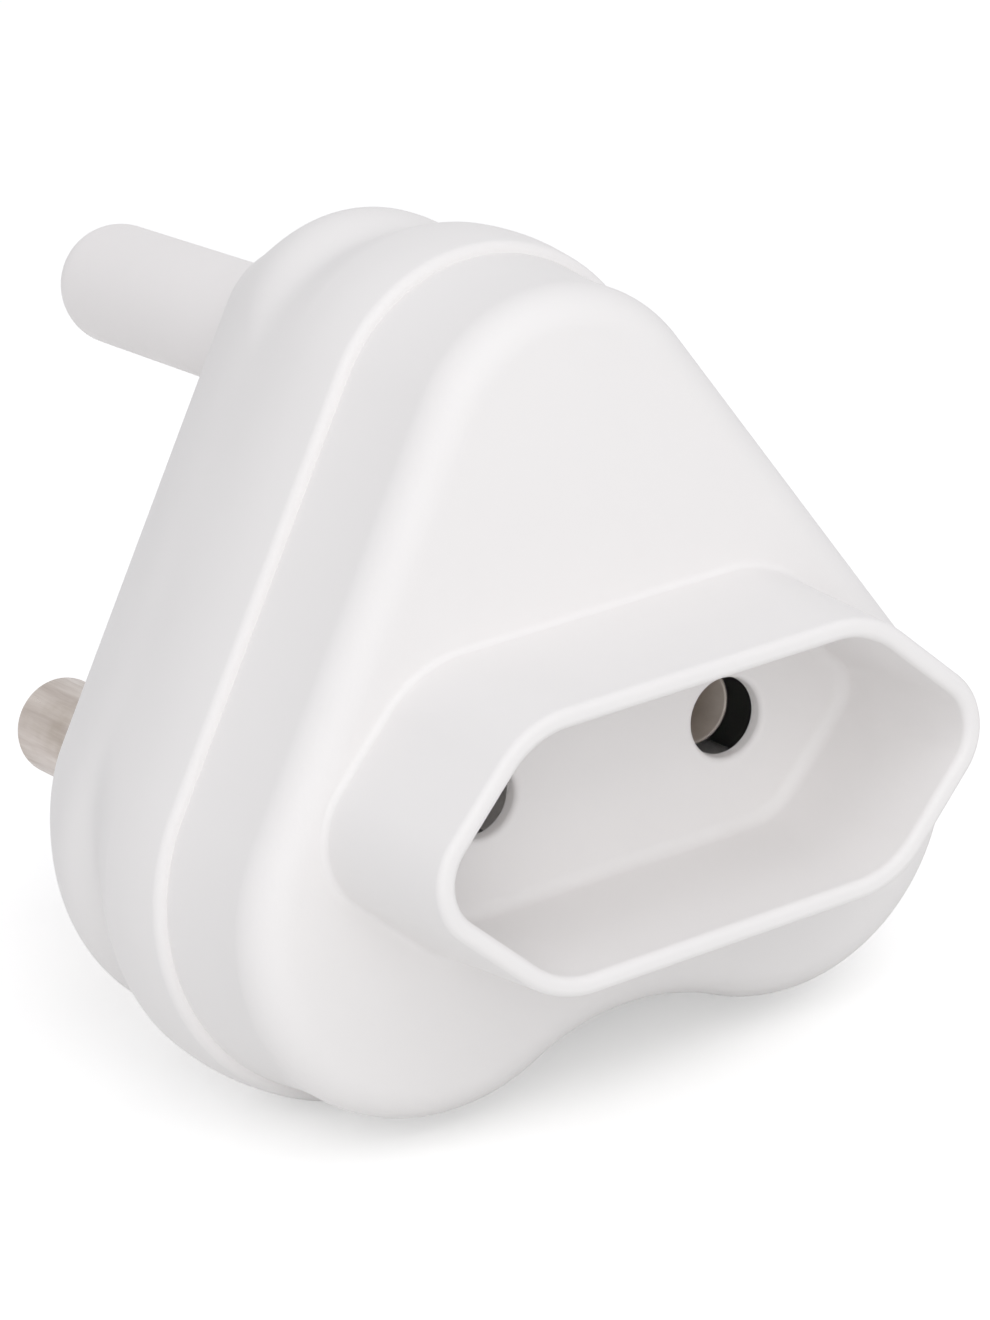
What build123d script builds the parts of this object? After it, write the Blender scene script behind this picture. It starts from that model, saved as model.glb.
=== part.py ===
from build123d import *
import os
from math import acos, asin, atan2, cos, degrees, hypot, radians, sin, sqrt

os.makedirs("parts", exist_ok=True)

# Three-pin plug adaptor with a two-pin socket in front. X is to the right seen from the front,
# +Y is into the wall, +Z is up towards the earth pin. The origin is on the rear face, midway
# between the line and neutral pins. A depth is a distance in front of the rear face.

# Plug pins
line_pin_diameter = 7.06
line_pin_length = 18.6
line_pin_spacing = 25.4
earth_pin_diameter = 8.7
earth_pin_length = 28.6
earth_pin_height = 28.6
line_pin_edge = 0.6
earth_pin_nose = 4.0
pin_clearance = 0.05

# Body outline at the flange: one apex corner, two lobes and a hollow foot between them
apex_height = 26.8
apex_radius = 12.9
lobe_spread = 13.2
lobe_height = 0.4
lobe_radius = 15.7
foot_radius = 14.8

# Side of the rear housing: depth, distance inside the flange, and how far the apex's and the
# lobes' centres are pushed outwards, which tightens the corners and leaves the flanks alone
rear_inset = 6.0
rear_apex_push = 3.2
shoulder_depth = 4.2
shoulder_inset = 3.7
shoulder_apex_push = 2.3
bulge_depth = 9.4
bulge_inset = 1.7
bulge_apex_push = 2.7
waist_depth = 14.0
waist_inset = 1.0
waist_apex_push = -0.7
waist_lobe_push = -3.0
split_depth = 18.8
rear_edge_radius = 0.8
lobe_aim = 35

# Front cover: the flange, then the front tier, which sweeps in from the flange's front edge
flange_depth = 25.0
flange_front_inset = 0.45
flange_edge_radius = 0.6
tier_foot_inset = 1.15
sweep_length = 5.5
sweep_middle_inset = 1.5
sweep_end_inset = 1.7
tier_front_inset = 1.75
tier_flat_width = 0.06
front_depth = 35.1

# Walls
rear_wall = 3.0
cavity_foot_wall = 2.3
waist_wall = 2.6
seat_inset = 3.0
mouth_inset = 4.4
flange_wall = 3.7
tier_wall = 2.2
front_wall = 2.2
spigot_length = 3.0
spigot_wall = 1.5
spigot_clearance = 0.15
post_clearance = 0.3

# Socket collar, a long hexagon with rounded corners, measured inside its rim
socket_height = 7.0
socket_corner_spread = 10.05
socket_corner_rise = 2.2
socket_corner_radius = 5.8
socket_tip_spread = 15.95
socket_tip_radius = 3.2
socket_floor_inset = 0.35
collar_foot_wall = 2.2
collar_rim_wall = 1.3
collar_height = 12.2
collar_edge_radius = 0.5
collar_foot_radius = 0.5
socket_floor_sink = 0.6
socket_floor_wall = 2.2
socket_floor_radius = 1.0

# Two-pin contacts and their holes
contact_spacing = 19.0
contact_hole_diameter = 5.2
contact_bore = 4.0
contact_sheet = 0.7
contact_slot = 1.2
contact_length = 19.0
contact_gap = 0.3
contact_lead_in = 0.35
tab_width = 8.0
leg_width = 4.4
leg_bend = 1.0

# Inner flanges and riveted ends of the pins, and the seats that hold them
pin_seat_wall = 1.3
pin_seat_clearance = 0.15
line_collar_diameter = 8.4
line_flange_diameter = 10.8
line_flange_thickness = 1.5
rivet_diameter = 4.2
rivet_head_diameter = 5.8
rivet_head_height = 0.9
earth_collar_diameter = 9.8
earth_flange_diameter = 11.4
earth_flange_thickness = 2.0
earth_core_diameter = 4.0
earth_core_end = 2.2
root_radius = 0.3

# Closing screw and its boss
screw_height = 14.6
screw_diameter = 3.5
screw_length = 16.0
screw_head_diameter = 6.6
screw_sink = 0.3
screw_point = 1.0
screw_fit = 0.06
screw_hole_clearance = 0.25
screw_end_room = 1.5
boss_diameter = 7.4
cross_width = 0.9
cross_span = 3.8
cross_depth = 1.1
cross_taper = 12

# Posts and guides inside the front cover
pin_post_diameter = 4.6
earth_post_diameter = 7.4
earth_post_wall = 1.6
guide_wall = 1.2
guide_length = 16.0
guide_clearance = 0.45

# How far a cut starts outside the face that it opens
cut_margin = 1.0


def side_angle(apex_z, apex_r, lobe_x, lobe_z, lobe_r):
    """Angle above the horizontal at which the straight side's normal points, in degrees."""
    run = hypot(lobe_x, apex_z - lobe_z)
    slope = degrees(atan2(apex_z - lobe_z, lobe_x))
    return 90 - slope + degrees(asin((lobe_r - apex_r) / run))


flank_angle = side_angle(apex_height, apex_radius, lobe_spread, lobe_height, lobe_radius)


def body_edges(grow, apex_push, lobe_push):
    """Body outline moved outwards by grow, as tangent arcs and two straight sides."""
    apex_z = apex_height + apex_push
    apex_r = apex_radius - apex_push * sin(radians(flank_angle))
    lobe_x = lobe_spread + lobe_push * cos(radians(lobe_aim))
    lobe_z = lobe_height - lobe_push * sin(radians(lobe_aim))
    lobe_r = lobe_radius - lobe_push * cos(radians(flank_angle + lobe_aim))
    side = side_angle(apex_z, apex_r, lobe_x, lobe_z, lobe_r)
    foot_reach = lobe_r + foot_radius
    foot_angle = degrees(acos(lobe_x / foot_reach))
    foot_z = lobe_z - sqrt(foot_reach**2 - lobe_x**2)
    lobe_turn = side + 180 - foot_angle
    apex = CenterArc((0, apex_z), apex_r + grow, side, 180 - 2 * side)
    left_lobe = CenterArc((-lobe_x, lobe_z), lobe_r + grow, 180 - side, lobe_turn)
    CenterArc((0, foot_z), foot_radius - grow, 180 - foot_angle, 2 * foot_angle - 180)
    right_lobe = CenterArc((lobe_x, lobe_z), lobe_r + grow, foot_angle - 180, lobe_turn)
    Line(apex @ 1, left_lobe @ 0)
    Line(right_lobe @ 1, apex @ 0)


def body_section(depth, inset, apex_push=0, lobe_push=0):
    """Filled body outline at a depth."""
    with BuildSketch(Plane.XZ.offset(depth)) as section:
        with BuildLine():
            body_edges(-inset, apex_push, lobe_push)
        make_face()
    return section.sketch


def socket_section(depth, grow):
    """Filled socket hexagon at a depth, moved outwards by grow: the hull of six round corners."""
    corner_x = socket_corner_spread
    corner_z = socket_corner_rise
    with BuildSketch(Plane.XZ.offset(depth)) as section:
        with Locations((0, socket_height)):
            with GridLocations(2 * corner_x, 2 * corner_z, 2, 2):
                Circle(socket_corner_radius + grow)
            with GridLocations(2 * socket_tip_spread, 0, 2, 1):
                Circle(socket_tip_radius + grow)
        make_hull()
    return section.sketch


def body_loft(stations, mode=Mode.ADD, ruled=True):
    """Loft through body outlines, each given as depth, inset and any pushes of its corners."""
    loft([body_section(*station) for station in stations], ruled=ruled, mode=mode)


def rod(x, z, radius, start, end, mode=Mode.ADD):
    """Round bar along the depth direction, centred on x and z."""
    with BuildSketch(Plane.XZ.offset(start)) as disc:
        with Locations((x, z)):
            Circle(radius)
    extrude(disc.sketch, amount=end - start, mode=mode)


# Places that several pieces share
pin_x = line_pin_spacing / 2
contact_x = contact_spacing / 2
pin_radius = line_pin_diameter / 2
earth_pin_radius = earth_pin_diameter / 2
screw_radius = screw_diameter / 2
screw_head_radius = screw_head_diameter / 2
tab_depth = rear_wall + line_flange_thickness
rivet_depth = tab_depth + contact_sheet
rivet_end = rivet_depth + rivet_head_height
earth_flange_end = rear_wall + earth_flange_thickness
seat_depth = split_depth - spigot_length - spigot_clearance
front_inner_depth = front_depth - front_wall
collar_depth = front_depth + collar_height
socket_floor_depth = front_depth - socket_floor_sink
floor_back_depth = socket_floor_depth - socket_floor_wall
contact_front_depth = floor_back_depth - contact_gap
contact_back_depth = contact_front_depth - contact_length
contact_radius = contact_bore / 2 + contact_sheet
# The tier's front edge is rounded up to the flat that is left beside the collar's tips
flank_reach = apex_radius + apex_height * sin(radians(flank_angle))
tip_reach = socket_tip_radius + socket_tip_spread * cos(radians(flank_angle))
collar_reach = tip_reach + socket_height * sin(radians(flank_angle)) + collar_foot_wall
tier_edge_radius = flank_reach - tier_front_inset - collar_reach - tier_flat_width
contact_reach = hypot(pin_x - contact_x, socket_height)
leg_reach = contact_reach - contact_radius

# Rear housing: a cup whose corners bulge and then draw in before the flange, with flat flanks
with BuildPart() as rear_housing:
    body_loft([
        (0, rear_inset, rear_apex_push),
        (shoulder_depth, shoulder_inset, shoulder_apex_push),
        (bulge_depth, bulge_inset, bulge_apex_push),
        (waist_depth, waist_inset, waist_apex_push, waist_lobe_push),
        (split_depth, 0),
    ], ruled=False)
    fillet(rear_housing.faces().sort_by(Axis.Y)[-1].edges(), rear_edge_radius)
    # Main hollow, and the wider seat for the front cover's spigot
    body_loft([
        (rear_wall, shoulder_inset + cavity_foot_wall, shoulder_apex_push),
        (waist_depth, waist_inset + waist_wall, waist_apex_push, waist_lobe_push),
        (split_depth, mouth_inset),
    ], mode=Mode.SUBTRACT)
    body_loft([(seat_depth, seat_inset), (split_depth, seat_inset)], mode=Mode.SUBTRACT)
    # Raised seats round the flanges of the line and neutral pins, and the pins' holes
    line_seat_radius = line_flange_diameter / 2 + pin_seat_clearance
    line_hole_radius = line_collar_diameter / 2 + pin_clearance
    for side in (-1, 1):
        rod(side * pin_x, 0, line_seat_radius + pin_seat_wall, rear_wall, tab_depth)
        rod(side * pin_x, 0, line_seat_radius, rear_wall, tab_depth, mode=Mode.SUBTRACT)
        rod(side * pin_x, 0, line_hole_radius, -cut_margin, rear_wall, mode=Mode.SUBTRACT)
    # Room for the earth pin's flange, and the earth pin's hole
    earth_seat_radius = earth_flange_diameter / 2 + pin_seat_clearance
    rod(0, earth_pin_height, earth_seat_radius, rear_wall, waist_depth, mode=Mode.SUBTRACT)
    earth_hole_radius = earth_collar_diameter / 2 + pin_clearance
    rod(0, earth_pin_height, earth_hole_radius, -cut_margin, rear_wall, mode=Mode.SUBTRACT)
    with Locations(Plane((0, 0, screw_height), x_dir=(1, 0, 0), z_dir=(0, 1, 0))):
        CounterSinkHole(
            radius=screw_radius + screw_hole_clearance,
            counter_sink_radius=screw_head_radius + screw_sink + screw_fit,
            depth=rear_wall,
            counter_sink_angle=90,
        )
rear_housing.part.label = "rear_housing"
export_step(rear_housing.part, "parts/rear_housing.step")

# Front cover: flange, front tier, socket collar and what holds the inner pieces down
with BuildPart() as front_cover:
    body_loft([(split_depth, 0), (flange_depth, flange_front_inset)])
    fillet(front_cover.faces().sort_by(Axis.Y)[0].edges(), flange_edge_radius)
    body_loft([
        (flange_depth, tier_foot_inset),
        (flange_depth + sweep_length / 2, sweep_middle_inset),
        (flange_depth + sweep_length, sweep_end_inset),
        (front_depth, tier_front_inset),
    ], ruled=False)
    fillet(front_cover.faces().sort_by(Axis.Y)[0].edges(), tier_edge_radius)
    body_loft([
        (split_depth, flange_wall),
        (front_inner_depth, tier_front_inset + tier_wall),
    ], mode=Mode.SUBTRACT)
    # Collar outside, rounded into the front face, and the thicker floor behind it
    loft([
        socket_section(front_inner_depth, collar_foot_wall),
        socket_section(collar_depth, collar_rim_wall),
    ], ruled=True)
    front_face = front_cover.faces().filter_by(Axis.Y).sort_by(
        lambda face: abs(face.center().Y + front_depth)
    )[0]
    fillet(front_face.inner_wires()[0].edges(), collar_foot_radius)
    extrude(socket_section(floor_back_depth, collar_foot_wall), amount=socket_floor_wall)
    # Collar inside, rounded at its floor and rim
    loft([
        socket_section(socket_floor_depth, -socket_floor_inset),
        socket_section(collar_depth, 0),
    ], ruled=True, mode=Mode.SUBTRACT)
    socket_floor = front_cover.faces().filter_by(Axis.Y).sort_by(
        lambda face: abs(face.center().Y + socket_floor_depth)
    )[0]
    fillet(socket_floor.edges(), socket_floor_radius)
    fillet(front_cover.faces().sort_by(Axis.Y)[0].edges(), collar_edge_radius)
    # Spigot that centres the cover in the rear housing
    spigot_inset = seat_inset + spigot_clearance
    spigot_start = split_depth - spigot_length
    spigot_end = split_depth + tier_wall
    body_loft([(spigot_start, spigot_inset), (spigot_end, spigot_inset)])
    spigot_bore_inset = spigot_inset + spigot_wall
    body_loft([
        (spigot_start, spigot_bore_inset),
        (spigot_end, spigot_bore_inset),
    ], mode=Mode.SUBTRACT)
    # Guides round the contacts, the holes in front of them, and posts over the two metal pins
    guide_inner = contact_radius + guide_clearance
    guide_start = floor_back_depth - guide_length
    hole_radius = contact_hole_diameter / 2
    post_start = rivet_end + post_clearance
    for side in (-1, 1):
        x = side * contact_x
        rod(side * pin_x, 0, pin_post_diameter / 2, post_start, floor_back_depth)
        rod(x, socket_height, guide_inner + guide_wall, guide_start, floor_back_depth)
        rod(x, socket_height, guide_inner, guide_start, floor_back_depth, mode=Mode.SUBTRACT)
        rod(x, socket_height, hole_radius, floor_back_depth, front_depth, mode=Mode.SUBTRACT)
    # Hollow post over the earth pin
    post_start = earth_flange_end + post_clearance
    post_radius = earth_post_diameter / 2
    post_bore = post_radius - earth_post_wall
    rod(0, earth_pin_height, post_radius, post_start, front_inner_depth)
    rod(0, earth_pin_height, post_bore, post_start, front_inner_depth, mode=Mode.SUBTRACT)
    # Screw boss, which stands on the rear wall
    pilot_radius = screw_radius + screw_fit
    pilot_end = screw_length + screw_end_room
    rod(0, screw_height, boss_diameter / 2, rear_wall, floor_back_depth)
    rod(0, screw_height, pilot_radius, rear_wall, pilot_end, mode=Mode.SUBTRACT)
front_cover.part.label = "front_cover"
export_step(front_cover.part, "parts/front_cover.step")

# Line and neutral pins: turned brass with a collar in the wall, an inner flange and a riveted end
for side, pin_name in ((1, "line_pin"), (-1, "neutral_pin")):
    with BuildPart() as pin:
        rod(side * pin_x, 0, pin_radius, -line_pin_length, 0)
        fillet(pin.faces().sort_by(Axis.Y)[-1].edges(), line_pin_edge)
        rod(side * pin_x, 0, line_collar_diameter / 2, 0, rear_wall)
        root = pin.edges().filter_by(GeomType.CIRCLE).filter_by_position(Axis.Y, 0, 0)
        fillet(root.sort_by(lambda edge: edge.radius)[0], root_radius)
        rod(side * pin_x, 0, line_flange_diameter / 2, rear_wall, tab_depth)
        rod(side * pin_x, 0, rivet_diameter / 2, tab_depth, rivet_depth)
        rod(side * pin_x, 0, rivet_head_diameter / 2, rivet_depth, rivet_end)
        fillet(pin.faces().sort_by(Axis.Y)[0].edges(), rivet_head_height / 2)
    pin.part.label = pin_name
    export_step(pin.part, f"parts/{pin_name}.step")

# Earth pin: moulded plastic, cored from inside, with a collar in the wall and an inner flange
with BuildPart() as earth_pin:
    rod(0, earth_pin_height, earth_pin_radius, -earth_pin_length, 0)
    fillet(earth_pin.faces().sort_by(Axis.Y)[-1].edges(), earth_pin_nose)
    rod(0, earth_pin_height, earth_collar_diameter / 2, 0, rear_wall)
    root = earth_pin.edges().filter_by(GeomType.CIRCLE).filter_by_position(Axis.Y, 0, 0)
    fillet(root.sort_by(lambda edge: edge.radius)[0], root_radius)
    rod(0, earth_pin_height, earth_flange_diameter / 2, rear_wall, earth_flange_end)
    core_radius = earth_core_diameter / 2
    core_start = earth_core_end + earth_pin_nose - earth_pin_length
    rod(0, earth_pin_height, core_radius, core_start, earth_flange_end, mode=Mode.SUBTRACT)
earth_pin.part.label = "earth_pin"
export_step(earth_pin.part, "parts/earth_pin.step")

# Contacts: a tab riveted to the pin, a leg bent up from it, and a slotted tube rolled at its end
for side, contact_name in ((1, "line_contact"), (-1, "neutral_contact")):
    run = Vector(side * (contact_x - pin_x), 0, socket_height) / contact_reach
    across = Plane(origin=(side * pin_x, 0, 0), x_dir=run, z_dir=(0, -1, 0))
    along = Plane(origin=(side * pin_x, 0, 0), x_dir=run, z_dir=-across.y_dir)
    with BuildPart() as contact:
        # Tube with a lead-in at its mouth, slotted opposite the leg
        with BuildSketch(across.offset(contact_back_depth)):
            with Locations((contact_reach, 0)):
                Circle(contact_radius)
                Circle(contact_bore / 2, mode=Mode.SUBTRACT)
        extrude(amount=contact_length)
        mouth = contact.edges().filter_by(GeomType.CIRCLE).group_by(Axis.Y)[0]
        chamfer(mouth.sort_by(lambda edge: edge.radius)[0], contact_lead_in)
        with BuildSketch(across.offset(contact_back_depth)):
            with Locations((contact_reach + contact_radius, 0)):
                Rectangle(contact_radius, contact_slot)
        extrude(amount=contact_length, mode=Mode.SUBTRACT)
        # Tab over the pin's flange, with the rivet's hole
        with BuildSketch(across.offset(tab_depth)):
            Circle(tab_width / 2)
            Circle(rivet_diameter / 2 + pin_clearance, mode=Mode.SUBTRACT)
        extrude(amount=contact_sheet)
        # Leg, bent up from the tab and carried on to the tube's back end
        with BuildSketch(along) as leg:
            with BuildLine() as leg_line:
                leg_x = leg_reach + contact_sheet / 2
                leg_y = tab_depth + contact_sheet / 2
                leg_corners = [
                    (rivet_head_diameter / 2, leg_y),
                    (leg_x, leg_y),
                    (leg_x, contact_back_depth + contact_sheet),
                ]
                FilletPolyline(*leg_corners, radius=leg_bend)
            trace(line_width=contact_sheet)
        extrude(leg.sketch, amount=leg_width / 2, both=True)
    contact.part.label = contact_name
    export_step(contact.part, f"parts/{contact_name}.step")

# Closing screw: countersunk head with a cross recess, threaded into the boss
with BuildPart() as closing_screw:
    with BuildSketch(Plane.YZ):
        with BuildLine():
            Polyline(
                (-screw_sink, screw_height),
                (-screw_sink, screw_height + screw_head_radius),
                (-screw_sink - screw_head_radius + screw_radius, screw_height + screw_radius),
                (-screw_length, screw_height + screw_radius),
                (-screw_length - screw_point, screw_height + screw_radius / 2),
                (-screw_length - screw_point, screw_height),
                close=True,
            )
        make_face()
    revolve(axis=Axis((0, 0, screw_height), (0, 1, 0)))
    with BuildSketch(Plane.XZ.offset(screw_sink)):
        with Locations((0, screw_height)):
            Rectangle(cross_span, cross_width)
            Rectangle(cross_width, cross_span)
    extrude(amount=cross_depth, taper=cross_taper, mode=Mode.SUBTRACT)
closing_screw.part.label = "closing_screw"
export_step(closing_screw.part, "parts/closing_screw.step")
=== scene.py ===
from math import acos, asin, atan2, cos, hypot, pi, radians, sin, sqrt, tan

import bpy
import numpy as np
from mathutils import Matrix, Vector


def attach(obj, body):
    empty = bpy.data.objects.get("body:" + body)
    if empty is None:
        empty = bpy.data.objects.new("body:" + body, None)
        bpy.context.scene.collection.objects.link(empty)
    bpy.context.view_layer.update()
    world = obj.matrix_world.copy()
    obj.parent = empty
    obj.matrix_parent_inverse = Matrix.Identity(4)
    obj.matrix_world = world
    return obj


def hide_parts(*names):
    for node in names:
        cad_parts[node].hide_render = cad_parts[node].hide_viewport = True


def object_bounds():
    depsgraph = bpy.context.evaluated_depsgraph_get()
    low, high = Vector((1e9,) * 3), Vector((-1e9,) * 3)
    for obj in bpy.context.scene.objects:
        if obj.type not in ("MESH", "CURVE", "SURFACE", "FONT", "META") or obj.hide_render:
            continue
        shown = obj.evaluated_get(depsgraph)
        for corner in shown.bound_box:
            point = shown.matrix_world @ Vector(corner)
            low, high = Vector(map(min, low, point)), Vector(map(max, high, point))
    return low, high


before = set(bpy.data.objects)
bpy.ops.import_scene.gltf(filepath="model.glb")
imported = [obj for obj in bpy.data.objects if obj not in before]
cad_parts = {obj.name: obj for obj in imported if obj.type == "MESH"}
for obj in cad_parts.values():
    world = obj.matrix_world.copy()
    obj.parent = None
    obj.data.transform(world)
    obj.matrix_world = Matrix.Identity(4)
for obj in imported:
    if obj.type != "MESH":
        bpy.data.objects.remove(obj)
cad_low, cad_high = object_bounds()

# Camera: a long lens, close in front of the adaptor's left side and a little above it, tipped
# by a few degrees. The numbers come from fitting the pins, the socket and the outline.
mm = 0.001
photo_height = 1320
focal_pixels = 5141.3
view_turn = radians(30.29)
view_drop = radians(18.86)
view_roll = radians(-6.67)
aim = Vector((5.88, -12.0, 6.79)) * mm
camera_distance = 348.98 * mm

look = Vector((sin(view_turn) * cos(view_drop), cos(view_turn) * cos(view_drop), -sin(view_drop)))
level = Vector((cos(view_turn), -sin(view_turn), 0))
upright = level.cross(look)
right = cos(view_roll) * level + sin(view_roll) * upright
up = cos(view_roll) * upright - sin(view_roll) * level

camera_data = bpy.data.cameras.new("camera")
camera_data.sensor_width = 36
camera_data.lens = camera_data.sensor_width * focal_pixels / photo_height
camera_data.clip_start = 0.01
camera_data.clip_end = 10
camera = bpy.data.objects.new("camera", camera_data)
turned_axes = Matrix((right, up, -look)).transposed().to_4x4()
camera.matrix_world = Matrix.Translation(aim - look * camera_distance) @ turned_axes
bpy.context.scene.collection.objects.link(camera)
bpy.context.scene.camera = camera
bpy.context.scene.view_settings.view_transform = "Standard"


# Studio: a white table in white surroundings, one wide soft lamp high in front and one lower
# on the left, which reaches into the socket. The adaptor stands on its two lobes.
def linear(code):
    """Linear colour of an sRGB hex value such as e8e4e0."""
    levels = np.array([int(code[start:start + 2], 16) for start in (0, 2, 4)]) / 255
    return (*np.where(levels <= 0.04045, levels / 12.92, ((levels + 0.055) / 1.055) ** 2.4), 1)


def add_node(tree, kind, settings=None, links=None):
    """Adds a node, sets attributes and input values, and links inputs to other nodes' outputs."""
    node = tree.nodes.new(kind)
    for name, value in (settings or {}).items():
        if isinstance(name, str) and hasattr(node, name):
            setattr(node, name, value)
        else:
            node.inputs[name].default_value = value
    for name, source in (links or {}).items():
        tree.links.new(source, node.inputs[name])
    return node


def new_material(name):
    """An empty node material and its node tree."""
    material = bpy.data.materials.new(name)
    material.use_nodes = True
    material.node_tree.nodes.clear()
    return material, material.node_tree


def seen_directly(tree):
    """1 for what the camera sees, also in a reflection or through glass, and 0 for light."""
    path = add_node(tree, "ShaderNodeLightPath")
    mirrored = add_node(tree, "ShaderNodeMath", {"operation": "MAXIMUM"}, {
        0: path.outputs["Is Glossy Ray"],
        1: path.outputs["Is Transmission Ray"],
    })
    return add_node(tree, "ShaderNodeMath", {"operation": "MAXIMUM"}, {
        0: path.outputs["Is Camera Ray"],
        1: mirrored.outputs[0],
    }).outputs[0]


world = bpy.data.worlds.new("white_room")
bpy.context.scene.world = world
world.use_nodes = True
room = world.node_tree
room.nodes.clear()
room_light = 0.66
dim = add_node(room, "ShaderNodeBackground", {"Color": linear("f8f8fb"), "Strength": room_light})
bright = add_node(room, "ShaderNodeBackground", {"Color": (1, 1, 1, 1), "Strength": 1.0})
room_mix = add_node(room, "ShaderNodeMixShader", None, {
    0: seen_directly(room),
    1: dim.outputs[0],
    2: bright.outputs[0],
})
add_node(room, "ShaderNodeOutputWorld", None, {"Surface": room_mix.outputs[0]})

# The table's paint is lit from within for the camera alone, so it reads as white paper
# and still takes the adaptor's soft shadow.
table_glow = 0.37
table_material, tree = new_material("white_paper_table")
paper = add_node(tree, "ShaderNodeBsdfDiffuse", {"Color": linear("f3f3f2")})
glow = add_node(tree, "ShaderNodeEmission", {"Color": (1, 1, 1, 1)}, {
    "Strength": add_node(tree, "ShaderNodeMath", {"operation": "MULTIPLY", 1: table_glow}, {
        0: seen_directly(tree),
    }).outputs[0],
})
paper_sum = add_node(tree, "ShaderNodeAddShader", None, {0: paper.outputs[0], 1: glow.outputs[0]})
add_node(tree, "ShaderNodeOutputMaterial", None, {"Surface": paper_sum.outputs[0]})

table_half = 3.0
table_z = cad_low.z
table_mesh = bpy.data.meshes.new("table")
table_corners = [(-table_half, -table_half), (table_half, -table_half),
                 (table_half, table_half), (-table_half, table_half)]
table_mesh.from_pydata([(x, y, table_z) for x, y in table_corners], [], [(0, 1, 2, 3)])
table_mesh.materials.append(table_material)
table = bpy.data.objects.new("table", table_mesh)
bpy.context.scene.collection.objects.link(table)


def soft_lamp(name, size, power, place):
    """Square soft lamp of the given size and power, pointed at the middle of the adaptor."""
    lamp = bpy.data.lights.new(name, "AREA")
    lamp.size = size
    lamp.energy = power
    holder = bpy.data.objects.new(name, lamp)
    holder.location = Vector(place)
    holder.rotation_euler = (aim - holder.location).to_track_quat("-Z", "Y").to_euler()
    bpy.context.scene.collection.objects.link(holder)


soft_lamp("lamp_above", 0.6, 1.15, (0.02, -0.43, 0.63))
soft_lamp("lamp_left", 0.5, 1.3, (-0.33, -0.62, 0.32))


# Rear housing: the rear shell, a cup moulded in white plastic. Its corners bulge and then draw
# in before the front cover, its flanks run straight, and its flat face carries the pins.
apex_height = 26.8
apex_radius = 12.9
lobe_spread = 13.2
lobe_height = 0.4
lobe_radius = 15.7
foot_radius = 14.8
lobe_aim = radians(35)
socket_height = 7.0
turns = np.linspace(-pi / 2, 3 * pi / 2, 540, endpoint=False)


def arc(x, z, radius, start, end):
    """Points on a circle between two angles: centre plus radius times (cos, sin) of the angle."""
    angle = np.linspace(start, end, 240)
    return np.stack([x + radius * np.cos(angle), z + radius * np.sin(angle)], axis=1)


def at_turns(points):
    """Reads a closed outline at equal turns about the socket's middle, from straight down."""
    turn = np.unwrap(np.arctan2(points[:, 1] - socket_height, points[:, 0]))
    turn += 2 * pi * np.round((-pi / 2 - turn[0]) / (2 * pi))
    return np.stack([np.interp(turns, turn, column) for column in points.T], axis=1)


def side_angle(tip_z, tip_radius, lobe_x, lobe_z, lobe):
    """Angle of the straight side's normal: square to the line of centres, leaned by the radii."""
    run = hypot(lobe_x, tip_z - lobe_z)
    return pi / 2 - atan2(tip_z - lobe_z, lobe_x) + asin((lobe - tip_radius) / run)


flank = side_angle(apex_height, apex_radius, lobe_spread, lobe_height, lobe_radius)


def body_outline(inset, apex_push=0.0, lobe_push=0.0):
    """Outline of the body in millimetres, drawn in by an inset.

    A tip arc, two lobe arcs and a hollow foot arc touch each other and two straight sides. A
    push moves a corner's centre outwards and shrinks its radius, so the flank's line stays.
    """
    tip_z = apex_height + apex_push
    tip_radius = apex_radius - apex_push * sin(flank)
    lobe_x = lobe_spread + lobe_push * cos(lobe_aim)
    lobe_z = lobe_height - lobe_push * sin(lobe_aim)
    lobe = lobe_radius - lobe_push * cos(flank + lobe_aim)
    side = side_angle(tip_z, tip_radius, lobe_x, lobe_z, lobe)
    reach = lobe + foot_radius
    foot = acos(lobe_x / reach)
    foot_z = lobe_z - sqrt(reach**2 - lobe_x**2)
    foot_right = arc(0, foot_z, foot_radius + inset, pi / 2, foot)
    lobe_right = arc(lobe_x, lobe_z, lobe - inset, foot - pi, side)
    tip = arc(0, tip_z, tip_radius - inset, side, pi / 2)
    straight = np.linspace(lobe_right[-1], tip[0], 240)[1:-1]
    half = np.concatenate([foot_right, lobe_right[1:], straight, tip])
    return at_turns(np.concatenate([half, half[::-1][1:] * (-1, 1)]))


def level_row(outline, depth, share=1.0):
    """Places an outline at its depth, drawn in towards the socket's middle by a share."""
    middle = np.array([0, socket_height])
    flat = middle + (outline - middle) * share
    return np.stack([flat[:, 0], np.full(len(flat), -depth), flat[:, 1]], axis=1)


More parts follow.
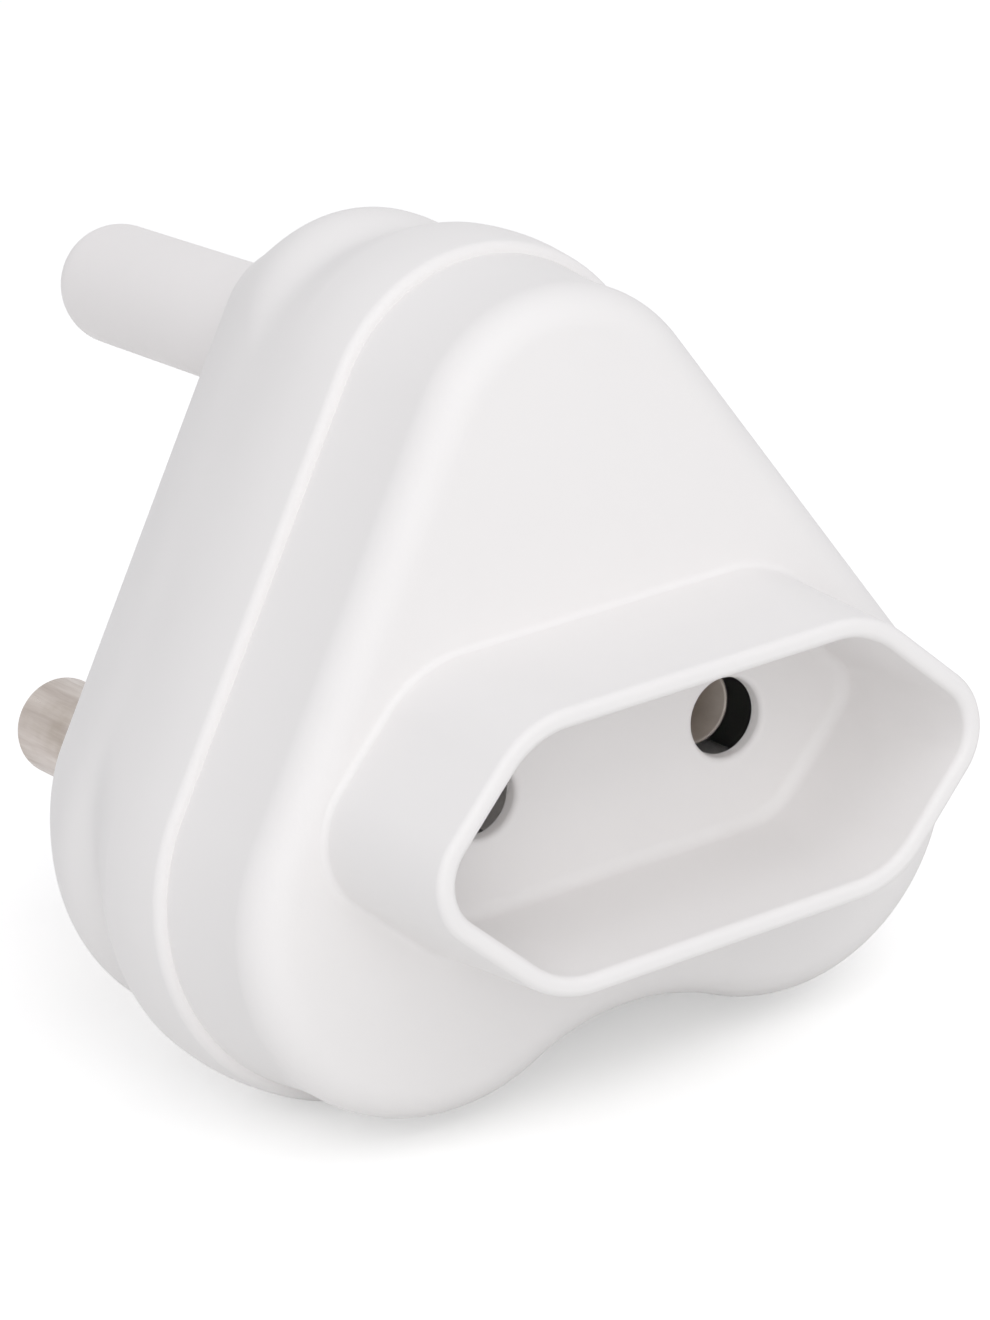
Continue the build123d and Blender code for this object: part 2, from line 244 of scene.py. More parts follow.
def smooth_through(stations, count):
    """Natural cubic spline through stations, spaced by the distance between them."""
    points = np.array(stations, dtype=float)
    knots = np.concatenate([[0], np.cumsum(np.linalg.norm(np.diff(points, axis=0), axis=1))])
    gaps = np.diff(knots)
    system = np.eye(len(points))
    target = np.zeros_like(points)
    inner = np.arange(1, len(points) - 1)
    system[inner, inner - 1] = gaps[:-1]
    system[inner, inner] = 2 * (gaps[:-1] + gaps[1:])
    system[inner, inner + 1] = gaps[1:]
    slopes = np.diff(points, axis=0) / gaps[:, None]
    target[1:-1] = 6 * np.diff(slopes, axis=0)
    bend = np.linalg.solve(system, target)
    where = np.linspace(0, knots[-1], count)
    span = np.clip(np.searchsorted(knots, where, side="right") - 1, 0, len(gaps) - 1)
    width = gaps[span][:, None]
    ahead = (knots[span + 1] - where)[:, None]
    behind = (where - knots[span])[:, None]
    return (
        bend[span] * ahead**3 / (6 * width)
        + bend[span + 1] * behind**3 / (6 * width)
        + (points[span] / width - bend[span] * width / 6) * ahead
        + (points[span + 1] / width - bend[span + 1] * width / 6) * behind
    )


def rounded(corners, steps=8):
    """Runs a profile through corners, each given as (a, b, radius), with an arc at each radius."""
    points = [np.array(corners[0][:2], dtype=float)]
    for before, corner, after in zip(corners, corners[1:], corners[2:]):
        place = np.array(corner[:2], dtype=float)
        radius = corner[2]
        if radius == 0:
            points.append(place)
            continue
        back = np.array(before[:2]) - place
        back /= np.linalg.norm(back)
        ahead = np.array(after[:2]) - place
        ahead /= np.linalg.norm(ahead)
        half = acos(float(np.clip(back @ ahead, -1, 1))) / 2
        centre = place + (back + ahead) / np.linalg.norm(back + ahead) * radius / sin(half)
        start = place + back * radius / tan(half) - centre
        end = place + ahead * radius / tan(half) - centre
        sweep = atan2(start[0] * end[1] - start[1] * end[0], start @ end)
        angles = atan2(start[1], start[0]) + np.linspace(0, sweep, steps + 1)
        points.extend(centre + radius * np.stack([np.cos(angles), np.sin(angles)], axis=1))
    points.append(np.array(corners[-1][:2], dtype=float))
    return np.array(points)


def skin(name, rows, material):
    """Closed surface from rows of points in millimetres: quads between rows, a fan at each end."""
    rows = np.asarray(rows) * mm
    count, columns = rows.shape[:2]
    points = np.concatenate([rows[0, :1], rows[1:-1].reshape(-1, 3), rows[-1, :1]])
    index = 1 + np.arange((count - 2) * columns).reshape(count - 2, columns)
    beside = np.roll(index, -1, axis=1)
    quads = np.stack([index[:-1], beside[:-1], beside[1:], index[1:]], axis=-1).reshape(-1, 4)
    first = np.stack([np.zeros(columns, dtype=int), beside[0], index[0]], axis=-1)
    last = np.stack([index[-1], beside[-1], np.full(columns, len(points) - 1)], axis=-1)
    triangles = np.concatenate([quads[:, :3], quads[:, [0, 2, 3]], first, last])
    a, b, c = np.moveaxis((points - points.mean(axis=0))[triangles], 1, 0)
    if np.einsum("ij,ij->", a, np.cross(b, c)) < 0:
        quads, first, last = quads[:, ::-1], first[:, ::-1], last[:, ::-1]
    mesh = bpy.data.meshes.new(name)
    mesh.from_pydata(points.tolist(), [], first.tolist() + quads.tolist() + last.tolist())
    mesh.materials.append(material)
    piece = bpy.data.objects.new(name, mesh)
    bpy.context.scene.collection.objects.link(piece)
    return piece


def combine(piece, tools, operation):
    """Cuts tools out of a piece, or joins them to it, one after another, and removes them."""
    for tool in tools:
        step = piece.modifiers.new("step", "BOOLEAN")
        step.operation = operation
        step.solver = "EXACT"
        step.object = tool
    graph = bpy.context.evaluated_depsgraph_get()
    old = piece.data
    piece.data = bpy.data.meshes.new_from_object(piece.evaluated_get(graph))
    piece.modifiers.clear()
    bpy.data.meshes.remove(old)
    for tool in tools:
        bpy.data.meshes.remove(tool.data)


def finish_piece(piece, node, crease=radians(32)):
    """Shades a piece smoothly up to a crease angle and puts it in its node's place."""
    piece.data.shade_smooth()
    piece.data.set_sharp_from_angle(angle=crease)
    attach(piece, "root")
    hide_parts(node)


def turned(name, x, z, profile, material, columns=96):
    """Surface of revolution about a line along the depth: profile of (radius, depth)."""
    angle = np.linspace(0, 2 * pi, columns, endpoint=False)
    profile = np.asarray(profile, dtype=float)
    radius = profile[:, :1]
    rows = np.stack([
        x + radius * np.cos(angle),
        np.repeat(-profile[:, 1:], columns, axis=1),
        z + radius * np.sin(angle),
    ], axis=-1)
    return skin(name, rows, material)


# Matt white ABS, injection moulded in a spark-eroded tool: a slightly warm white with a fine
# even grain, a broad soft gloss that varies with handling, and faint clouds where it flowed.
def white_plastic(name, tone, cloud, dull, shiny):
    """Moulded white plastic in two close tones, with its gloss between a dull and a shiny value."""
    material, tree = new_material(name)
    place = add_node(tree, "ShaderNodeTexCoord").outputs["Object"]
    flow = add_node(tree, "ShaderNodeTexNoise", {
        "Scale": 1 / (16 * mm),
        "Detail": 3.0,
        "Distortion": 0.6,
    }, {"Vector": place})
    colour = add_node(tree, "ShaderNodeMix", {"data_type": "RGBA", 6: linear(tone), 7: linear(cloud)}, {
        0: flow.outputs["Fac"],
    })
    marks = add_node(tree, "ShaderNodeTexNoise", {
        "Scale": 1 / (5 * mm),
        "Detail": 6.0,
        "Roughness": 0.6,
    }, {"Vector": place})
    gloss = add_node(tree, "ShaderNodeMapRange", {1: 0.3, 2: 0.7, 3: shiny, 4: dull}, {
        0: marks.outputs["Fac"],
    })
    # The tool's real grain is about 0.05 mm, too fine to show, so it is drawn at 0.3 mm
    grain = add_node(tree, "ShaderNodeTexNoise", {"Scale": 1 / (0.3 * mm), "Detail": 3.0}, {
        "Vector": place,
    })
    waves = add_node(tree, "ShaderNodeTexNoise", {"Scale": 1 / (9 * mm), "Detail": 1.0}, {
        "Vector": place,
    })
    ripple = add_node(tree, "ShaderNodeBump", {"Strength": 0.3, "Distance": 0.12 * mm}, {
        "Height": waves.outputs["Fac"],
    })
    bump = add_node(tree, "ShaderNodeBump", {"Strength": 0.22, "Distance": 0.02 * mm}, {
        "Height": grain.outputs["Fac"],
        "Normal": ripple.outputs[0],
    })
    shader = add_node(tree, "ShaderNodeBsdfPrincipled", {"IOR": 1.5, "Specular IOR Level": 0.4}, {
        "Base Color": colour.outputs[2],
        "Roughness": gloss.outputs[0],
        "Normal": bump.outputs[0],
    })
    add_node(tree, "ShaderNodeOutputMaterial", None, {"Surface": shader.outputs[0]})
    return material


body_plastic = white_plastic("moulded_white_abs", "f2f0ef", "eeeceb", 0.6, 0.5)

split_depth = 18.8
rear_wall = 3.0
rear_edge_radius = 0.8
# The side from back to front: depth, inset, push of the tip and push of the lobes
side_stations = [
    (0, 6.0, 3.2, 0), (4.2, 3.7, 2.3, 0), (9.4, 1.7, 2.7, 0), (14.0, 0.75, -1.25, -3.4),
    (split_depth, 0.08, 0, 0), (21.8, 0.04, 0, 0), (25.0, 0.45, 0, 0),
]
whole_side = smooth_through(side_stations, 160)
cup_side = whole_side[whole_side[:, 0] < split_depth - 0.1]
edge_rise = np.clip(rear_edge_radius - cup_side[:, 0], 0, None)
cup_side[:, 1] += rear_edge_radius - np.sqrt(rear_edge_radius**2 - edge_rise**2)
seat_inset = 3.0
seat_depth = 15.65
# The cup's inside from the rim, with the spigot's seat, down to its floor
hollow = [
    (split_depth, 0.08, 0, 0),
    (split_depth, seat_inset, 0, 0),
    (seat_depth, seat_inset, 0, 0),
    (seat_depth, 3.88, -0.46, -1.97),
    (14.0, 3.6, -0.7, -3.0),
    (rear_wall + 0.5, 5.9, 2.2, 0),
    (rear_wall + 0.1, 6.2, 2.3, 0),
    (rear_wall, 6.6, 2.3, 0),
]
cup_profile = np.concatenate([cup_side, hollow])
rear_face = body_outline(side_stations[0][1] + rear_edge_radius, side_stations[0][2])
rear_rows = [level_row(rear_face, 0, share) for share in (0, 0.3, 0.6, 0.85)]
rear_rows += [
    level_row(body_outline(inset, tip, lobe), depth)
    for depth, inset, tip, lobe in cup_profile
]
hollow_floor = body_outline(*hollow[-1][1:3])
rear_rows += [level_row(hollow_floor, rear_wall, share) for share in (0.7, 0.35, 0)]
housing = skin("rear_shell", rear_rows, body_plastic)

# Raised rings round the metal pins' flanges, and the room for the earth pin's flange
pin_x = 12.7
earth_height = 28.6
line_seat = 5.55
line_ring = 6.85
ring_depth = 4.5
ring_root = rear_wall - 1
rings = [
    turned("seat_ring", side * pin_x, 0, [
        (0, rear_wall - 0.4),
        (line_seat, rear_wall - 0.4),
        (line_seat, ring_depth),
        (line_ring, ring_depth),
        (line_ring, ring_root),
        (0, ring_root),
    ], body_plastic)
    for side in (-1, 1)
]
combine(housing, rings, "UNION")


def pin_hole(x, z, radius):
    """Cutter for a hole through the rear wall, rounded over at the rear face."""
    return turned("pin_hole", x, z, rounded([
        (0, rear_wall + 1, 0),
        (radius, rear_wall + 1, 0),
        (radius, 0, 0.2),
        (radius + 1, 0, 0),
        (radius + 1, -1, 0),
        (0, -1, 0),
    ]), body_plastic)


screw_height = 14.6
screw_hole = 2.0
screw_seat_radius = 3.66
screw_seat_depth = 1.66
earth_room_radius = 5.85
earth_room_end = 14.0
metal_pin_hole = 4.25
earth_pin_hole = 4.95
screw_seat = turned("screw_seat", 0, screw_height, [
    (0, rear_wall + 1),
    (screw_hole, rear_wall + 1),
    (screw_hole, screw_seat_depth),
    (screw_seat_radius, 0),
    (screw_seat_radius, -1),
    (0, -1),
], body_plastic)
earth_room = turned("earth_room", 0, earth_height, [
    (0, rear_wall),
    (earth_room_radius, rear_wall),
    (earth_room_radius, earth_room_end),
    (0, earth_room_end),
], body_plastic)
cutters = [
    pin_hole(-pin_x, 0, metal_pin_hole),
    pin_hole(pin_x, 0, metal_pin_hole),
    pin_hole(0, earth_height, earth_pin_hole),
]
combine(housing, cutters + [screw_seat, earth_room], "DIFFERENCE")
finish_piece(housing, "rear_housing")

# Line and neutral pins: turned brass bars, nickel plated and polished lengthwise. A collar sits
# in the rear wall, a flange behind it, and the inner end is riveted over the contact's tab.
pin_material, tree = new_material("nickel_plated_brass_polished_lengthwise")
# Nickel over turned brass: a warm grey metal whose streaked reflections along the pin are
# painted into its colour as light and dark streaks, with duller worn patches
place = add_node(tree, "ShaderNodeTexCoord").outputs["Object"]
stretch = add_node(tree, "ShaderNodeMapping", {
    "vector_type": "POINT",
    "Scale": (1 / (0.8 * mm), 1 / (14 * mm), 1 / (0.8 * mm)),
}, {"Vector": place})
streaks = add_node(tree, "ShaderNodeTexNoise", {"Scale": 1.0, "Detail": 4.0, "Roughness": 0.65}, {
    "Vector": stretch.outputs[0],
})
wear = add_node(tree, "ShaderNodeTexNoise", {"Scale": 1 / (3.5 * mm), "Detail": 4.0}, {"Vector": place})
# Painted reflection: light and dark streaks along the pin in the metal's own colour
nickel_painted_streaks = add_node(tree, "ShaderNodeMix", {
    "data_type": "RGBA",
    6: linear("d6cec8"),
    7: linear("9c8f88"),
}, {0: streaks.outputs["Fac"]})
tarnished = add_node(tree, "ShaderNodeMapRange", {1: 0.5, 2: 0.75, 3: 0.0, 4: 0.45}, {
    0: wear.outputs["Fac"],
})
plating = add_node(tree, "ShaderNodeMix", {"data_type": "RGBA", 7: linear("9a8d7c")}, {
    0: tarnished.outputs[0],
    6: nickel_painted_streaks.outputs[2],
})
dulled = add_node(tree, "ShaderNodeMapRange", {1: 0.3, 2: 0.7, 3: 0.26, 4: 0.48}, {
    0: streaks.outputs["Fac"],
})
scratches = add_node(tree, "ShaderNodeBump", {"Strength": 0.35, "Distance": 0.01 * mm}, {
    "Height": streaks.outputs["Fac"],
})
metal = add_node(tree, "ShaderNodeBsdfPrincipled", {"Metallic": 1.0}, {
    "Base Color": plating.outputs[2],
    "Roughness": dulled.outputs[0],
    "Normal": scratches.outputs[0],
})
add_node(tree, "ShaderNodeOutputMaterial", None, {"Surface": metal.outputs[0]})

pin_radius = 3.53
pin_length = 18.6
collar_radius = 4.2
flange_radius = 5.4
tab_depth = 4.5
rivet_radius = 2.1
rivet_head_radius = 2.9
rivet_head_foot = 5.2
rivet_end = 6.1
for side, node in ((1, "line_pin"), (-1, "neutral_pin")):
    pin = turned(node + "_turned", side * pin_x, 0, rounded([
        (0, -pin_length, 0),
        (pin_radius, -pin_length, 0.6),
        (pin_radius, 0, 0.3),
        (collar_radius, 0, 0.08),
        (collar_radius, rear_wall, 0),
        (flange_radius, rear_wall, 0.1),
        (flange_radius, tab_depth, 0.1),
        (rivet_radius, tab_depth, 0),
        (rivet_radius, rivet_head_foot, 0),
        (rivet_head_radius, rivet_head_foot, 0),
        (rivet_head_radius, rivet_end, 0.45),
        (0, rivet_end, 0),
    ], 6), pin_material, 128)
    finish_piece(pin, node)

# Earth pin: moulded in a harder white nylon with a smooth, slightly glossier skin. Its nose is
# round, it is cored from inside, and its flange is held down by the post of the front cover.
pin_plastic = white_plastic("moulded_white_nylon", "f4f1f0", "efeceb", 0.5, 0.4)
earth_radius = 4.35
earth_length = 28.6
earth_collar_radius = 4.9
earth_flange_radius = 5.7
earth_flange_top = 5.0
core_radius = 2.0
core_end = -22.4
earth_pin = turned("earth_pin_moulded", 0, earth_height, rounded([
    (0, -earth_length, 0),
    (earth_radius, -earth_length, 4.0),
    (earth_radius, 0, 0.3),
    (earth_collar_radius, 0, 0.08),
    (earth_collar_radius, rear_wall, 0),
    (earth_flange_radius, rear_wall, 0.1),
    (earth_flange_radius, earth_flange_top, 0.1),
    (core_radius, earth_flange_top, 0.15),
    (core_radius, core_end, 0.4),
    (0, core_end, 0),
], 20), pin_plastic, 144)
finish_piece(earth_pin, "earth_pin")

# Contacts: two spring sleeves, each rolled with its leg and tab from one tinned bronze strip.
# The tab is riveted under the pin's inner end, and the sleeve's mouth faces its round hole.
strip_material, tree = new_material("tinned_bronze_strip")
# Hot-dipped tin on bronze: dull warm grey under a thin oxide film, which scatters most of the
# light, with fine rolling lines along the strip and darker blotches where the tin is thin
place = add_node(tree, "ShaderNodeTexCoord").outputs["Object"]
rolled = add_node(tree, "ShaderNodeMapping", {
    "vector_type": "POINT",
    "Scale": (1 / (0.2 * mm), 1 / (5 * mm), 1 / (0.2 * mm)),
}, {"Vector": place})
lines = add_node(tree, "ShaderNodeTexNoise", {"Scale": 1.0, "Detail": 3.0}, {
    "Vector": rolled.outputs[0],
})
blotches = add_node(tree, "ShaderNodeTexNoise", {"Scale": 1 / (2.5 * mm), "Detail": 5.0}, {
    "Vector": place,
})
tin = add_node(tree, "ShaderNodeMix", {"data_type": "RGBA", 6: linear("efe7df"), 7: linear("cbbfb4")}, {
    0: blotches.outputs["Fac"],
})
satin = add_node(tree, "ShaderNodeMapRange", {1: 0.3, 2: 0.7, 3: 0.55, 4: 0.75}, {
    0: lines.outputs["Fac"],
})
rolling = add_node(tree, "ShaderNodeBump", {"Strength": 0.3, "Distance": 0.01 * mm}, {
    "Height": lines.outputs["Fac"],
})
strip = add_node(tree, "ShaderNodeBsdfPrincipled", {"Metallic": 0.4}, {
    "Base Color": tin.outputs[2],
    "Roughness": satin.outputs[0],
    "Normal": rolling.outputs[0],
})
add_node(tree, "ShaderNodeOutputMaterial", None, {"Surface": strip.outputs[0]})

contact_x = 9.5
sheet = 0.7
sleeve_radius = 2.7
sleeve_back = 13.0
sleeve_mouth = 30.6
slot_width = 1.2
leg_width = 4.4
leg_start = 2.6
leg_end = 13.7
leg_bend = 1.0
tab_radius = 4.0


def with_ends(rows):
    """Adds a row at each end, drawn together in the middle of that end."""
    rows = np.asarray(rows)
    first = np.broadcast_to(rows[0].mean(axis=0), rows[0].shape)
    last = np.broadcast_to(rows[-1].mean(axis=0), rows[-1].shape)
    return np.concatenate([first[None], rows, last[None]])


def rolled_sleeve(x, z, away):
    """Slotted tube: the strip's edge view, a flared rectangle, swept round from slot to slot."""
    bore = sleeve_radius - sheet
    edge = np.array([
        (sleeve_radius, sleeve_back),
        (sleeve_radius, sleeve_mouth),
        (sleeve_radius - 0.12, sleeve_mouth + 0.06),
        (sleeve_radius - 0.22, sleeve_mouth),
        (bore, sleeve_mouth - 1.3),
        (bore, sleeve_back),
    ])
    half_slot = asin(slot_width / 2 / sleeve_radius)
    angle = away + np.linspace(half_slot, 2 * pi - half_slot, 90)[:, None]
    return skin("sleeve", with_ends(np.stack([
        x + edge[:, 0] * np.cos(angle),
        np.broadcast_to(-edge[:, 1], (90, len(edge))),
        z + edge[:, 0] * np.sin(angle),
    ], axis=-1)), strip_material)


def bent_leg(x, run):
    """Flat strip carried along the rivet's edge and round one bend up to the sleeve."""
    reach = hypot(pin_x - contact_x, socket_height) - sleeve_radius + sheet / 2
    tab_middle = tab_depth + sheet / 2
    line = rounded([(leg_start, tab_middle, 0), (reach, tab_middle, leg_bend), (reach, leg_end, 0)], 10)
    ahead = np.gradient(line, axis=0)
    ahead /= np.linalg.norm(ahead, axis=1)[:, None]
    out = ahead[:, ::-1] * (1, -1) * sheet / 2
    flat = line[:, None, :] + out[:, None, :] * np.array([-1, -1, 1, 1])[None, :, None]
    across = np.array([-1, 1, 1, -1]) * leg_width / 2
    return skin("leg", with_ends(np.stack([
        x + run[0] * flat[..., 0] - run[1] * across,
        -flat[..., 1],
        run[1] * flat[..., 0] + run[0] * across,
    ], axis=-1)), strip_material)


for side, node in ((1, "line_contact"), (-1, "neutral_contact")):
    run = np.array([side * (contact_x - pin_x), socket_height])
    run /= np.linalg.norm(run)
    contact = turned("rolled_" + node, side * pin_x, 0, [
        (0, tab_depth),
        (tab_radius, tab_depth),
        (tab_radius, tab_depth + sheet),
        (0, tab_depth + sheet),
    ], strip_material)
    combine(contact, [
        bent_leg(side * pin_x, run),
        rolled_sleeve(side * contact_x, socket_height, atan2(run[1], run[0])),
    ], "UNION")
    rivet_hole = turned("rivet_hole", side * pin_x, 0, [
        (0, tab_depth - 1),
        (rivet_radius + 0.02, tab_depth - 1),
        (rivet_radius + 0.02, tab_depth + 2),
        (0, tab_depth + 2),
    ], strip_material)
    combine(contact, [rivet_hole], "DIFFERENCE")
    finish_piece(contact, node)

# Front cover: flange, front tier and socket collar, moulded in one with the rear shell's
# plastic. A spigot centres it in the shell, and posts inside hold the pins' flanges down.
flange_depth = 25.0
flange_front_inset = 0.45
flange_edge_radius = 0.66
tier_foot_inset = 1.15
tier_front_inset = 1.75
tier_edge_radius = 2.65
front_depth = 35.1
front_inner_depth = 32.9
collar_depth = 47.3
floor_depth = 34.5
floor_back_depth = 32.3
spigot_inset = 3.15
spigot_bore_inset = 4.65
spigot_depth = 15.8
flange_wall = 3.7


def socket_outline(grow):
    """Long hexagon with six round corners, grown outwards by grow: four wide arcs and two tips."""
    corner_x, corner_z, corner_radius = 10.05, 2.2, 5.8
    tip_x, tip_radius = 15.95, 3.2
    run = hypot(tip_x - corner_x, corner_z)
    slant = atan2(corner_z, tip_x - corner_x)
    lean = pi / 2 - slant - asin((corner_radius - tip_radius) / run)
    tip = arc(tip_x, 0, tip_radius + grow, 0, lean)
    corner = arc(corner_x, corner_z, corner_radius + grow, lean, pi / 2)
    slope = np.linspace(tip[-1], corner[0], 120)[1:-1]
    top = np.linspace(corner[-1], (0, corner[-1, 1]), 120)[1:]
    quarter = np.concatenate([tip, slope, corner, top])
    upper = np.concatenate([quarter, quarter[::-1][1:] * (-1, 1)])
    ring = np.concatenate([upper, upper[::-1][1:] * (1, -1)])
    start = len(ring) - len(quarter)
    ring = np.roll(ring[:-1], -start, axis=0)
    return at_turns(np.concatenate([ring, ring[:1]]) + (0, socket_height))


side_depth = whole_side[:, 0]
flange_side = whole_side[(side_depth > split_depth + 0.1) & (side_depth < flange_depth - 0.9)]
flange_edge = rounded([
    (*flange_side[-1, :2], 0),
    (flange_depth, flange_front_inset, flange_edge_radius),
    (flange_depth, tier_foot_inset, 0),
], 12)[1:]
sweep = smooth_through([
    (flange_depth, tier_foot_inset), (27.75, 1.5), (30.5, 1.7), (front_depth, tier_front_inset),
], 24)
sweep = sweep[sweep[:, 0] < front_depth - tier_edge_radius - 0.1]

brow = rounded([
    (sweep[-1][0], sweep[-1][1], 0),
    (front_depth, tier_front_inset, tier_edge_radius),
    (front_depth, tier_front_inset + 5, 0),
], 24)[1:-1]
outside = [(split_depth, 0.08)] + flange_side[:, :2].tolist() + flange_edge.tolist()
outside += sweep[1:].tolist() + brow.tolist()
outside_rows = [level_row(body_outline(inset), depth) for depth, inset in outside]
collar = rounded([
    (front_depth, 4.2, 0),
    (front_depth, 2.05, 0.5),
    (collar_depth, 1.3, 0.55),
    (collar_depth, 0, 0.55),
    (floor_depth, -0.35, 1.0),
    (floor_depth, -3.0, 0),
], 10)[1:-1]
collar_rows = [level_row(socket_outline(grow), depth) for depth, grow in collar]
foot_outline = socket_outline(collar[0][1])
edge_outline = body_outline(outside[-1][1])
face_rows = [
    level_row(edge_outline * (1 - blend) + foot_outline * blend, front_depth)
    for blend in (0.25, 0.5, 0.75)
]
floor_outline = socket_outline(collar[-1][1])
floor_rows = [level_row(floor_outline, floor_depth, share) for share in (0.75, 0.5, 0.25, 0)]
back_outline = socket_outline(2.2)
inner_inset = 3.95
back_rows = [level_row(back_outline, floor_back_depth, share) for share in (0, 0.5, 1)]
back_rows += [level_row(back_outline, front_inner_depth)]
inside = [
    (front_inner_depth, inner_inset + 0.4),
    (front_inner_depth - 0.4, inner_inset),
    (split_depth + 2.2, flange_wall),
    (split_depth + 2.2, spigot_bore_inset),
    (spigot_depth, spigot_bore_inset),
    (spigot_depth, spigot_inset + 0.3),
    (spigot_depth + 0.3, spigot_inset),
    (split_depth, spigot_inset),
]
inside_rows = [level_row(body_outline(inset), depth) for depth, inset in inside]
cover_rows = back_rows + inside_rows + outside_rows + face_rows + collar_rows + floor_rows
cover = skin("front_cover_shell", cover_rows, body_plastic)

# Posts, guides and the screw boss stand on the back of the front wall, and reach a little into
# it, so that they join. Each post is a tube or a bar from its open end to the wall.
post_radius = 3.7
post_bore = 2.1
post_bore_end = 31.5
post_foot = 5.3
pilot_radius = 1.81
pilot_end = 17.5
boss_foot = rear_wall
pin_post_radius = 2.3
pin_post_foot = 6.4
guide_radius = 4.35
guide_bore = 3.15
guide_foot = 16.3
earth_root = front_inner_depth + 0.5
post_root = floor_back_depth + 0.5
guide_root = floor_back_depth + 0.7
guide_bore_end = floor_back_depth + 0.2
posts = [
    turned("earth_post", 0, earth_height, [
        (0, post_bore_end),
        (post_bore, post_bore_end),
        (post_bore, post_foot),
        (post_radius, post_foot),
        (post_radius, earth_root),
        (0, earth_root),
    ], body_plastic),
    turned("screw_boss", 0, screw_height, [
        (0, pilot_end),
        (pilot_radius, pilot_end),
        (pilot_radius, boss_foot),
        (post_radius, boss_foot),
        (post_radius, post_root),
        (0, post_root),
    ], body_plastic),
]
for side in (-1, 1):
    posts.append(turned("pin_post", side * pin_x, 0, [
        (0, pin_post_foot),
        (pin_post_radius, pin_post_foot),
        (pin_post_radius, post_root),
        (0, post_root),
    ], body_plastic))
    posts.append(turned("guide", side * contact_x, socket_height, [
        (0, guide_bore_end),
        (guide_bore, guide_bore_end),
        (guide_bore, guide_foot),
        (guide_radius, guide_foot),
        (guide_radius, guide_root),
        (0, guide_root),
    ], body_plastic))
combine(cover, posts, "UNION")

# The two round holes through the socket's floor have a thin lip with a soft edge and open into
# a wider room, whose outer and lower sides are windows, so what lies behind the lip is dark.
lip_depth = floor_depth - 1.0
lip_radius = 2.6
hole_mouth_radius = 2.7
hole_edge_radius = 0.45
edge_reach = 4.0
room_radius = 4.1
room_end = 26.5
window_end = 32.0
windows = ((4.0, 0, 3.2), (2.1, 3.0, 1.8), (0, 4.0, 2.0))
contact_holes = [
    turned("contact_hole", side * contact_x, socket_height, rounded([
        (0, room_end, 0),
        (room_radius, room_end, 0),
        (room_radius, lip_depth, 0),
        (lip_radius, lip_depth, 0),
        (hole_mouth_radius, floor_depth, hole_edge_radius),
        (edge_reach, floor_depth, 0),
        (edge_reach, floor_depth + 1, 0),
        (0, floor_depth + 1, 0),
    ]), body_plastic)
    for side in (-1, 1)
]
guide_windows = [
    turned("guide_window", side * (contact_x + across), socket_height - down, [
        (0, room_end), (radius, room_end), (radius, window_end), (0, window_end),
    ], body_plastic)
    for side in (-1, 1)
    for across, down, radius in windows
]
combine(cover, contact_holes + guide_windows, "DIFFERENCE")
finish_piece(cover, "front_cover")

# Closing screw: a zinc-plated steel self-tapping screw with a countersunk head and a cross
# recess, driven from behind into the boss.
zinc_material, tree = new_material("zinc_plated_rolled_steel")
# Bright zinc: a cool silver metal, a little cloudy, with fine tool rings on the head
place = add_node(tree, "ShaderNodeTexCoord").outputs["Object"]
haze = add_node(tree, "ShaderNodeTexNoise", {"Scale": 1 / (0.9 * mm), "Detail": 5.0}, {"Vector": place})
zinc = add_node(tree, "ShaderNodeMix", {
    "data_type": "RGBA",
    6: linear("c3c6c8"),
    7: linear("a2a5a6"),
}, {0: haze.outputs["Fac"]})
cloudy = add_node(tree, "ShaderNodeMapRange", {1: 0.3, 2: 0.7, 3: 0.22, 4: 0.42}, {
    0: haze.outputs["Fac"],
})
pitted = add_node(tree, "ShaderNodeBump", {"Strength": 0.3, "Distance": 0.01 * mm}, {
    "Height": haze.outputs["Fac"],
})
plated = add_node(tree, "ShaderNodeBsdfPrincipled", {"Metallic": 1.0}, {
    "Base Color": zinc.outputs[2],
    "Roughness": cloudy.outputs[0],
    "Normal": pitted.outputs[0],
})
add_node(tree, "ShaderNodeOutputMaterial", None, {"Surface": plated.outputs[0]})

thread_pitch = 1.3
thread_height = 0.5
shank_radius = 1.75
head_radius = 3.3
head_sink = 0.3
screw_tip = 17.0


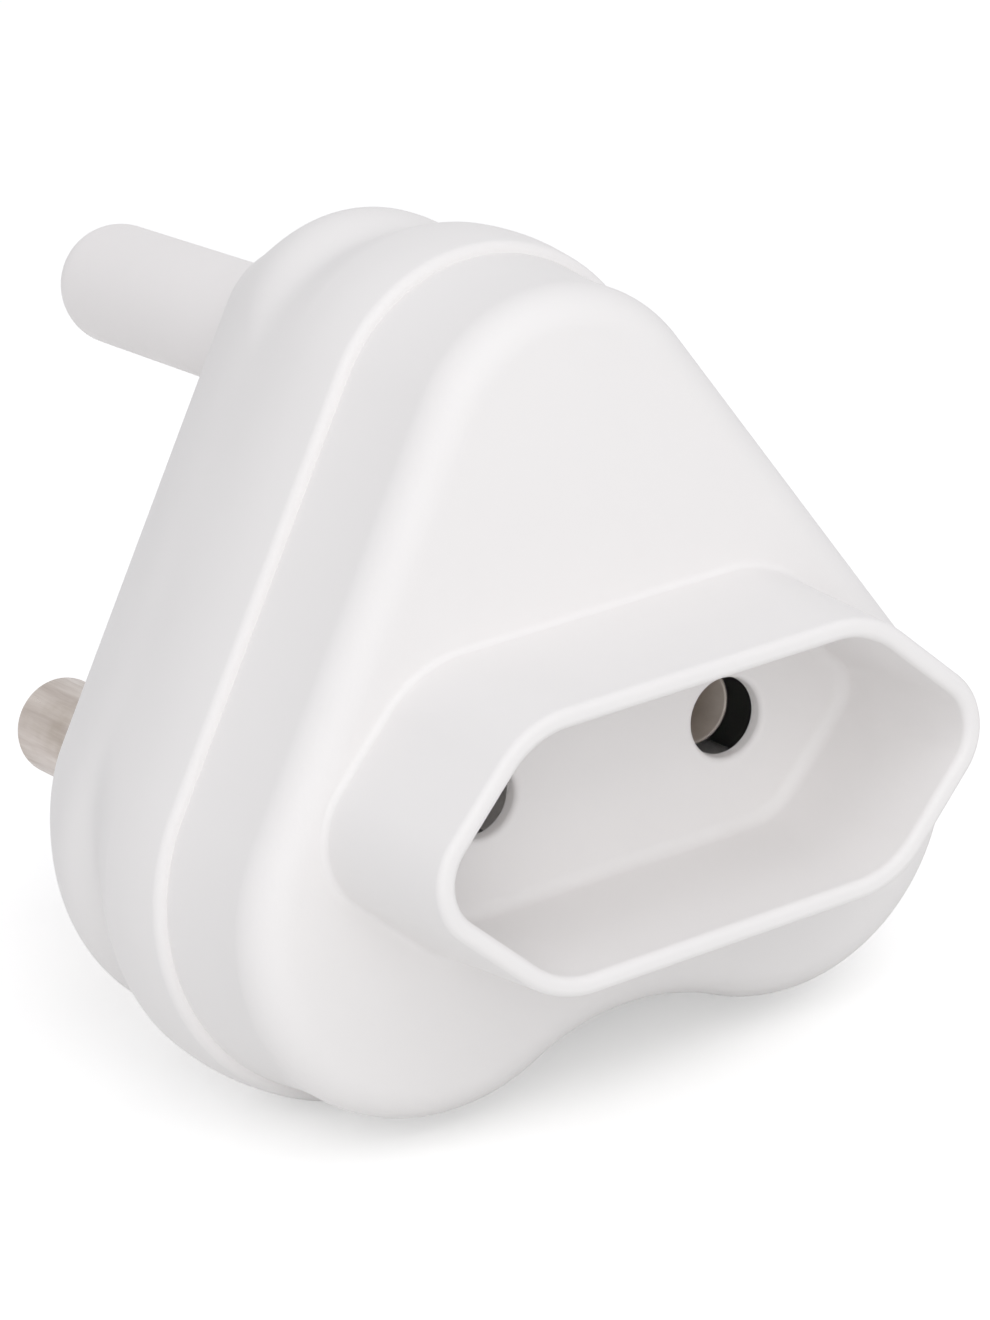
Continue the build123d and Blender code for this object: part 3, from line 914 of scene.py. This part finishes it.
def threaded(name, columns=72, levels=260):
    """Screw as a surface of turn and depth.

    Radius is the core's plus a ridge, thread_height * max(0, 1 - 4 * |frac - 1/2|), where frac
    is the fraction of depth / pitch - turn / (2 pi). The ridge fades in under the head and out
    at the tip, where the core narrows to a point.
    """
    turn = np.linspace(0, 2 * pi, columns, endpoint=False)[None, :]
    depth = np.linspace(2.2, screw_tip, levels)[:, None]
    cycle = (depth / thread_pitch - turn / (2 * pi)) % 1
    ridge = thread_height * np.clip(1 - 4 * np.abs(cycle - 0.5), 0, None)
    fade = np.clip((depth - 2.6) / 1.2, 0, 1) * np.clip((screw_tip - depth) / 1.4, 0, 1)
    core = (shank_radius - thread_height) * np.clip((screw_tip - depth) / 1.2, 0.15, 1) ** 0.5
    radius = core + ridge * fade
    shank = np.stack([
        radius * np.cos(turn),
        np.repeat(-depth, columns, axis=1),
        screw_height + radius * np.sin(turn),
    ], axis=-1)
    head = np.array([
        (0, head_sink), (head_radius - 0.12, head_sink), (head_radius, head_sink + 0.12),
        (shank_radius - thread_height, head_sink + 2.0),
    ])
    top = np.stack([
        head[:, :1] * np.cos(turn),
        np.repeat(-head[:, 1:], columns, axis=1),
        screw_height + head[:, :1] * np.sin(turn),
    ], axis=-1)
    end = shank[-1:].copy()
    end[..., 0] = 0
    end[..., 2] = screw_height
    return skin(name, np.concatenate([top, shank, end]), zinc_material)


def cross_blade(wide, deep):
    """Tapered blade of the driver: a rectangle that narrows from the head's face inwards."""
    corners = np.array([(-1, -1), (1, -1), (1, 1), (-1, 1)]) / 2
    rows = []
    above, bottom = head_sink - 0.5, head_sink + deep
    for depth, share in ((above, 0), (above, 1), (bottom, 0.72), (bottom, 0)):
        flat = corners * np.array(wide) * share
        rows.append(np.stack([flat[:, 0], np.full(4, -depth), screw_height + flat[:, 1]], axis=1))
    return skin("blade", rows, zinc_material)


cross_span, cross_width, cross_depth = 3.8, 0.9, 1.1
screw = threaded("closing_screw_threaded")
combine(screw, [
    cross_blade((cross_span, cross_width), cross_depth),
    cross_blade((cross_width, cross_span), cross_depth),
], "DIFFERENCE")
finish_piece(screw, "closing_screw", radians(25))
